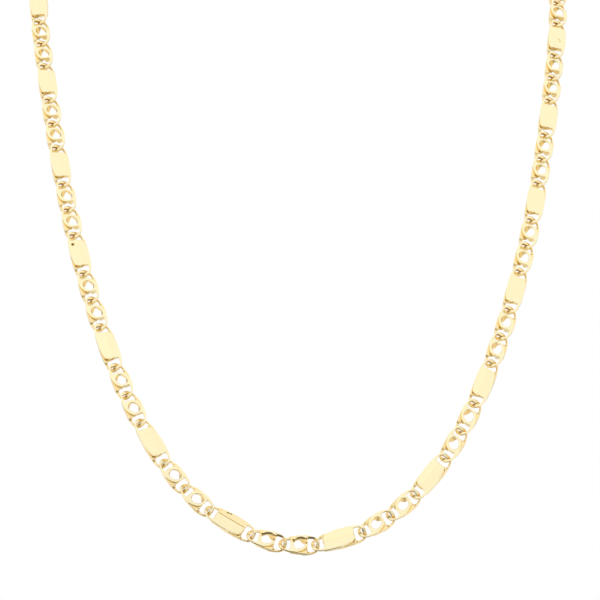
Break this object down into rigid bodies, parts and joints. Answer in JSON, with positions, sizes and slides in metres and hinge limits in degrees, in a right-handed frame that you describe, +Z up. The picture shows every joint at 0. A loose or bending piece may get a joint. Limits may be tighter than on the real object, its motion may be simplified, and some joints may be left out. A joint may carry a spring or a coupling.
{
  "type": "link chain necklace",
  "caption": "Flat gold link chain necklace: long solid plate links alternating with pairs of round-eyed links, closed by a plain clasp at the nape.",
  "frame": {"origin": "the middle of the loop's back on its inner side, where the necklace rests on the nape of the neck", "axes": "+Z up as worn, the front of the necklace faces -Y, +X to the right of someone who looks at it from the front"},
  "size_m": [0.1111, 0.1288, 0.152],
  "materials": {
    "gold_plate": "yellow gold, flat cut faces, polished with faint brushed lines",
    "gold_eye": "yellow gold, flat cut faces over polished round wire",
    "gold_clasp": "yellow gold, polished"
  },
  "bodies": {
    "root": {"plate_link_01": "gold_plate", "plate_link_02": "gold_plate", "plate_link_03": "gold_plate", "plate_link_04": "gold_plate", "plate_link_05": "gold_plate", "plate_link_06": "gold_plate", "plate_link_07": "gold_plate", "plate_link_08": "gold_plate", "plate_link_09": "gold_plate", "plate_link_10": "gold_plate", "plate_link_11": "gold_plate", "plate_link_12": "gold_plate", "plate_link_13": "gold_plate", "plate_link_14": "gold_plate", "plate_link_15": "gold_plate", "plate_link_16": "gold_plate", "plate_link_17": "gold_plate", "plate_link_18": "gold_plate", "plate_link_19": "gold_plate", "plate_link_20": "gold_plate", "plate_link_21": "gold_plate", "plate_link_22": "gold_plate", "eye_links_left": "gold_eye", "eye_links_right": "gold_eye", "clasp": "gold_clasp", "jump_ring": "gold_clasp", "end_ring": "gold_clasp"}
  },
  "joints": []
}
